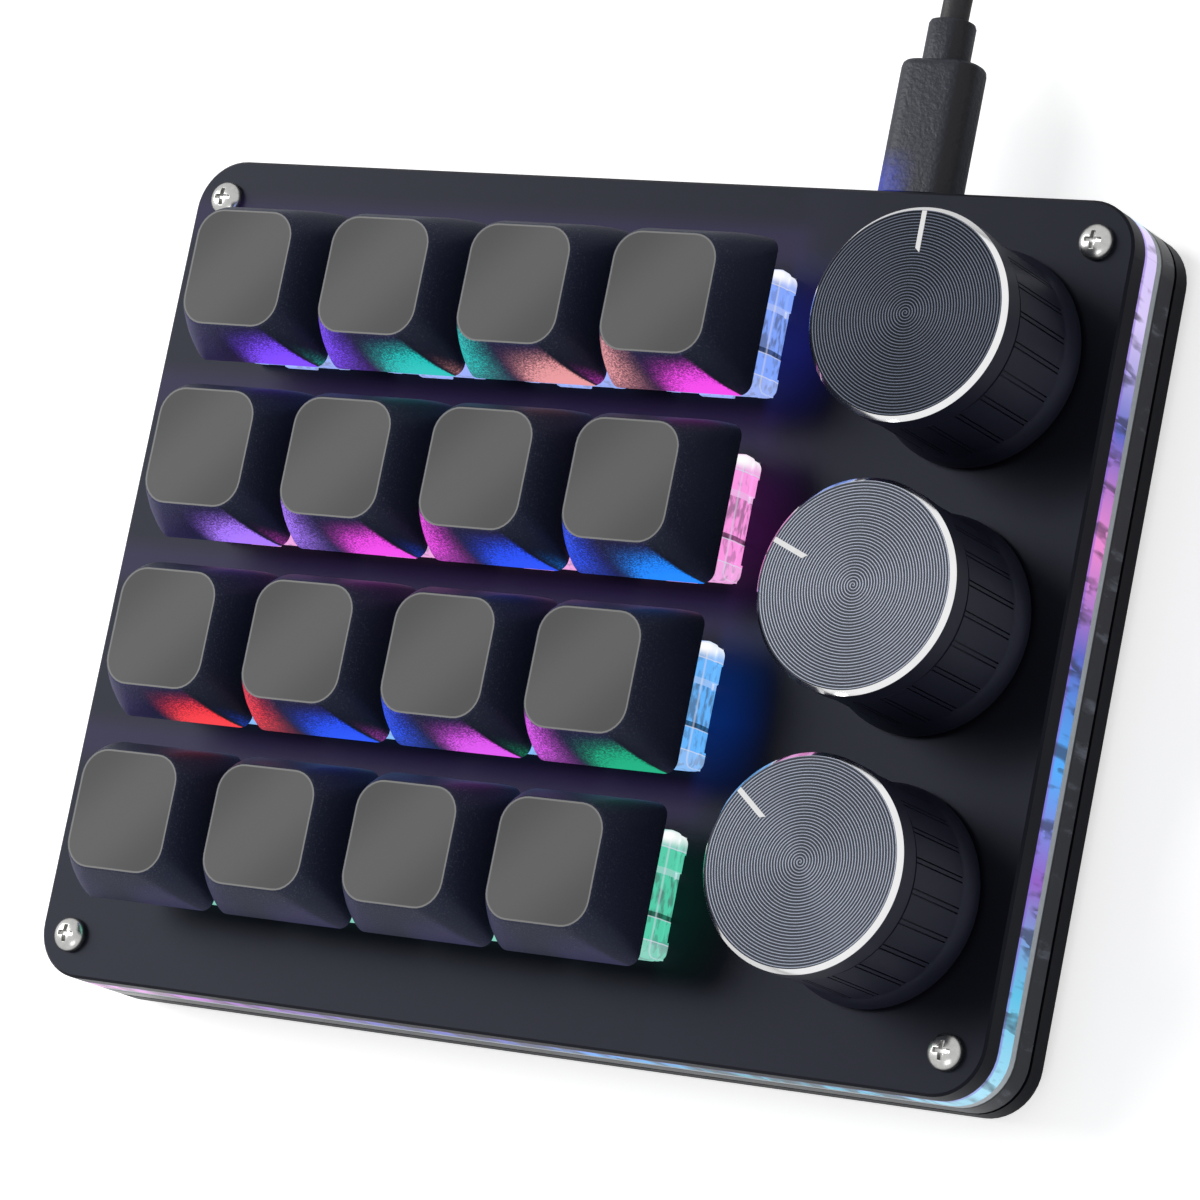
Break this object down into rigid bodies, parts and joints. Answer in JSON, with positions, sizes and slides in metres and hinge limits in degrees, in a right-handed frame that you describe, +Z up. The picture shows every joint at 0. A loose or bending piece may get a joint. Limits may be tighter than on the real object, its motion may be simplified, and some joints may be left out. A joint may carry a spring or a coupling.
{
  "type": "macro keypad with knobs",
  "caption": "Small desk keypad of mechanical key switches and push-and-turn knobs between metal plates, edge lit through clear acrylic, with a USB lead.",
  "frame": {"origin": "on the desk, under the middle of the plates", "axes": "+X to the knobs' side along the long edge, +Y to the edge with the USB socket, +Z up"},
  "size_m": [0.1573, 0.2091, 0.0346],
  "materials": {
    "black_plate": "matt black anodised",
    "clear_acrylic": "clear polished acrylic",
    "board_laminate": "white solder mask",
    "keycap_plastic": "fine texture",
    "stem_plastic": "moulded",
    "switch_plastic": "milky clear moulding",
    "spring_steel": "drawn wire",
    "light_lens": "clear over a white cup",
    "screw_steel": "plated",
    "encoder_steel": "plated sheet",
    "rotor_brass": "turned",
    "shaft_steel": "turned",
    "knob_plastic": "satin moulding",
    "knob_aluminium": "spiral turned face, bright chamfer",
    "foot_rubber": "matt",
    "socket_steel": "plated",
    "plug_moulding": "leather-grain moulding",
    "cable_jacket": "matt jacket"
  },
  "bodies": {
    "chassis": {"acrylic_frames": "clear_acrylic", "bottom_plate": "black_plate", "cable_coil": "cable_jacket", "cable_run": "cable_jacket", "circuit_board": "board_laminate", "corner_screws": "screw_steel", "encoder_housings": "encoder_steel", "host_plug": "plug_moulding", "key_lights": "light_lens", "rubber_feet": "foot_rubber", "switch_lower_housings": "switch_plastic", "switch_springs": "spring_steel", "switch_upper_housings": "switch_plastic", "top_plate": "black_plate", "usb_plug": "plug_moulding", "usb_socket": "socket_steel"},
    "key_r1c1": {"keycap_r1c1": "keycap_plastic", "key_stem_r1c1": "stem_plastic"},
    "key_r1c2": {"keycap_r1c2": "keycap_plastic", "key_stem_r1c2": "stem_plastic"},
    "key_r1c3": {"keycap_r1c3": "keycap_plastic", "key_stem_r1c3": "stem_plastic"},
    "key_r1c4": {"keycap_r1c4": "keycap_plastic", "key_stem_r1c4": "stem_plastic"},
    "key_r2c1": {"keycap_r2c1": "keycap_plastic", "key_stem_r2c1": "stem_plastic"},
    "key_r2c2": {"keycap_r2c2": "keycap_plastic", "key_stem_r2c2": "stem_plastic"},
    "key_r2c3": {"keycap_r2c3": "keycap_plastic", "key_stem_r2c3": "stem_plastic"},
    "key_r2c4": {"keycap_r2c4": "keycap_plastic", "key_stem_r2c4": "stem_plastic"},
    "key_r3c1": {"keycap_r3c1": "keycap_plastic", "key_stem_r3c1": "stem_plastic"},
    "key_r3c2": {"keycap_r3c2": "keycap_plastic", "key_stem_r3c2": "stem_plastic"},
    "key_r3c3": {"keycap_r3c3": "keycap_plastic", "key_stem_r3c3": "stem_plastic"},
    "key_r3c4": {"keycap_r3c4": "keycap_plastic", "key_stem_r3c4": "stem_plastic"},
    "key_r4c1": {"keycap_r4c1": "keycap_plastic", "key_stem_r4c1": "stem_plastic"},
    "key_r4c2": {"keycap_r4c2": "keycap_plastic", "key_stem_r4c2": "stem_plastic"},
    "key_r4c3": {"keycap_r4c3": "keycap_plastic", "key_stem_r4c3": "stem_plastic"},
    "key_r4c4": {"keycap_r4c4": "keycap_plastic", "key_stem_r4c4": "stem_plastic"},
    "rotor_1": {"encoder_1_rotor": "rotor_brass"},
    "knob_1": {"knob_1_shell": "knob_plastic", "knob_1_disc": "knob_aluminium", "encoder_1_shaft": "shaft_steel"},
    "rotor_2": {"encoder_2_rotor": "rotor_brass"},
    "knob_2": {"knob_2_shell": "knob_plastic", "knob_2_disc": "knob_aluminium", "encoder_2_shaft": "shaft_steel"},
    "rotor_3": {"encoder_3_rotor": "rotor_brass"},
    "knob_3": {"knob_3_shell": "knob_plastic", "knob_3_disc": "knob_aluminium", "encoder_3_shaft": "shaft_steel"}
  },
  "joints": [
    {"name": "key_r1c1_press", "type": "slide", "parent": "chassis", "child": "key_r1c1", "axis": [0, 0, -1], "range_m": [0, 0.004], "stiffness_N_per_m": 100, "springref_m": -0.0015, "deforming": ["switch_springs"]},
    {"name": "key_r1c2_press", "type": "slide", "parent": "chassis", "child": "key_r1c2", "axis": [0, 0, -1], "range_m": [0, 0.004], "stiffness_N_per_m": 100, "springref_m": -0.0015, "deforming": ["switch_springs"]},
    {"name": "key_r1c3_press", "type": "slide", "parent": "chassis", "child": "key_r1c3", "axis": [0, 0, -1], "range_m": [0, 0.004], "stiffness_N_per_m": 100, "springref_m": -0.0015, "deforming": ["switch_springs"]},
    {"name": "key_r1c4_press", "type": "slide", "parent": "chassis", "child": "key_r1c4", "axis": [0, 0, -1], "range_m": [0, 0.004], "stiffness_N_per_m": 100, "springref_m": -0.0015, "deforming": ["switch_springs"]},
    {"name": "key_r2c1_press", "type": "slide", "parent": "chassis", "child": "key_r2c1", "axis": [0, 0, -1], "range_m": [0, 0.004], "stiffness_N_per_m": 100, "springref_m": -0.0015, "deforming": ["switch_springs"]},
    {"name": "key_r2c2_press", "type": "slide", "parent": "chassis", "child": "key_r2c2", "axis": [0, 0, -1], "range_m": [0, 0.004], "stiffness_N_per_m": 100, "springref_m": -0.0015, "deforming": ["switch_springs"]},
    {"name": "key_r2c3_press", "type": "slide", "parent": "chassis", "child": "key_r2c3", "axis": [0, 0, -1], "range_m": [0, 0.004], "stiffness_N_per_m": 100, "springref_m": -0.0015, "deforming": ["switch_springs"]},
    {"name": "key_r2c4_press", "type": "slide", "parent": "chassis", "child": "key_r2c4", "axis": [0, 0, -1], "range_m": [0, 0.004], "stiffness_N_per_m": 100, "springref_m": -0.0015, "deforming": ["switch_springs"]},
    {"name": "key_r3c1_press", "type": "slide", "parent": "chassis", "child": "key_r3c1", "axis": [0, 0, -1], "range_m": [0, 0.004], "stiffness_N_per_m": 100, "springref_m": -0.0015, "deforming": ["switch_springs"]},
    {"name": "key_r3c2_press", "type": "slide", "parent": "chassis", "child": "key_r3c2", "axis": [0, 0, -1], "range_m": [0, 0.004], "stiffness_N_per_m": 100, "springref_m": -0.0015, "deforming": ["switch_springs"]},
    {"name": "key_r3c3_press", "type": "slide", "parent": "chassis", "child": "key_r3c3", "axis": [0, 0, -1], "range_m": [0, 0.004], "stiffness_N_per_m": 100, "springref_m": -0.0015, "deforming": ["switch_springs"]},
    {"name": "key_r3c4_press", "type": "slide", "parent": "chassis", "child": "key_r3c4", "axis": [0, 0, -1], "range_m": [0, 0.004], "stiffness_N_per_m": 100, "springref_m": -0.0015, "deforming": ["switch_springs"]},
    {"name": "key_r4c1_press", "type": "slide", "parent": "chassis", "child": "key_r4c1", "axis": [0, 0, -1], "range_m": [0, 0.004], "stiffness_N_per_m": 100, "springref_m": -0.0015, "deforming": ["switch_springs"]},
    {"name": "key_r4c2_press", "type": "slide", "parent": "chassis", "child": "key_r4c2", "axis": [0, 0, -1], "range_m": [0, 0.004], "stiffness_N_per_m": 100, "springref_m": -0.0015, "deforming": ["switch_springs"]},
    {"name": "key_r4c3_press", "type": "slide", "parent": "chassis", "child": "key_r4c3", "axis": [0, 0, -1], "range_m": [0, 0.004], "stiffness_N_per_m": 100, "springref_m": -0.0015, "deforming": ["switch_springs"]},
    {"name": "key_r4c4_press", "type": "slide", "parent": "chassis", "child": "key_r4c4", "axis": [0, 0, -1], "range_m": [0, 0.004], "stiffness_N_per_m": 100, "springref_m": -0.0015, "deforming": ["switch_springs"]},
    {"name": "knob_1_turn", "type": "hinge", "parent": "chassis", "child": "rotor_1", "pos_m": [0.04697, 0.0311, 0.0162], "axis": [0, 0, 1], "continuous": true},
    {"name": "knob_1_press", "type": "slide", "parent": "rotor_1", "child": "knob_1", "axis": [0, 0, -1], "range_m": [0, 0.0005], "stiffness_N_per_m": 3000, "springref_m": -0.0001},
    {"name": "knob_2_turn", "type": "hinge", "parent": "chassis", "child": "rotor_2", "pos_m": [0.04697, 0.0009, 0.0162], "axis": [0, 0, 1], "continuous": true},
    {"name": "knob_2_press", "type": "slide", "parent": "rotor_2", "child": "knob_2", "axis": [0, 0, -1], "range_m": [0, 0.0005], "stiffness_N_per_m": 3000, "springref_m": -0.0001},
    {"name": "knob_3_turn", "type": "hinge", "parent": "chassis", "child": "rotor_3", "pos_m": [0.04697, -0.0293, 0.0162], "axis": [0, 0, 1], "continuous": true},
    {"name": "knob_3_press", "type": "slide", "parent": "rotor_3", "child": "knob_3", "axis": [0, 0, -1], "range_m": [0, 0.0005], "stiffness_N_per_m": 3000, "springref_m": -0.0001}
  ]
}
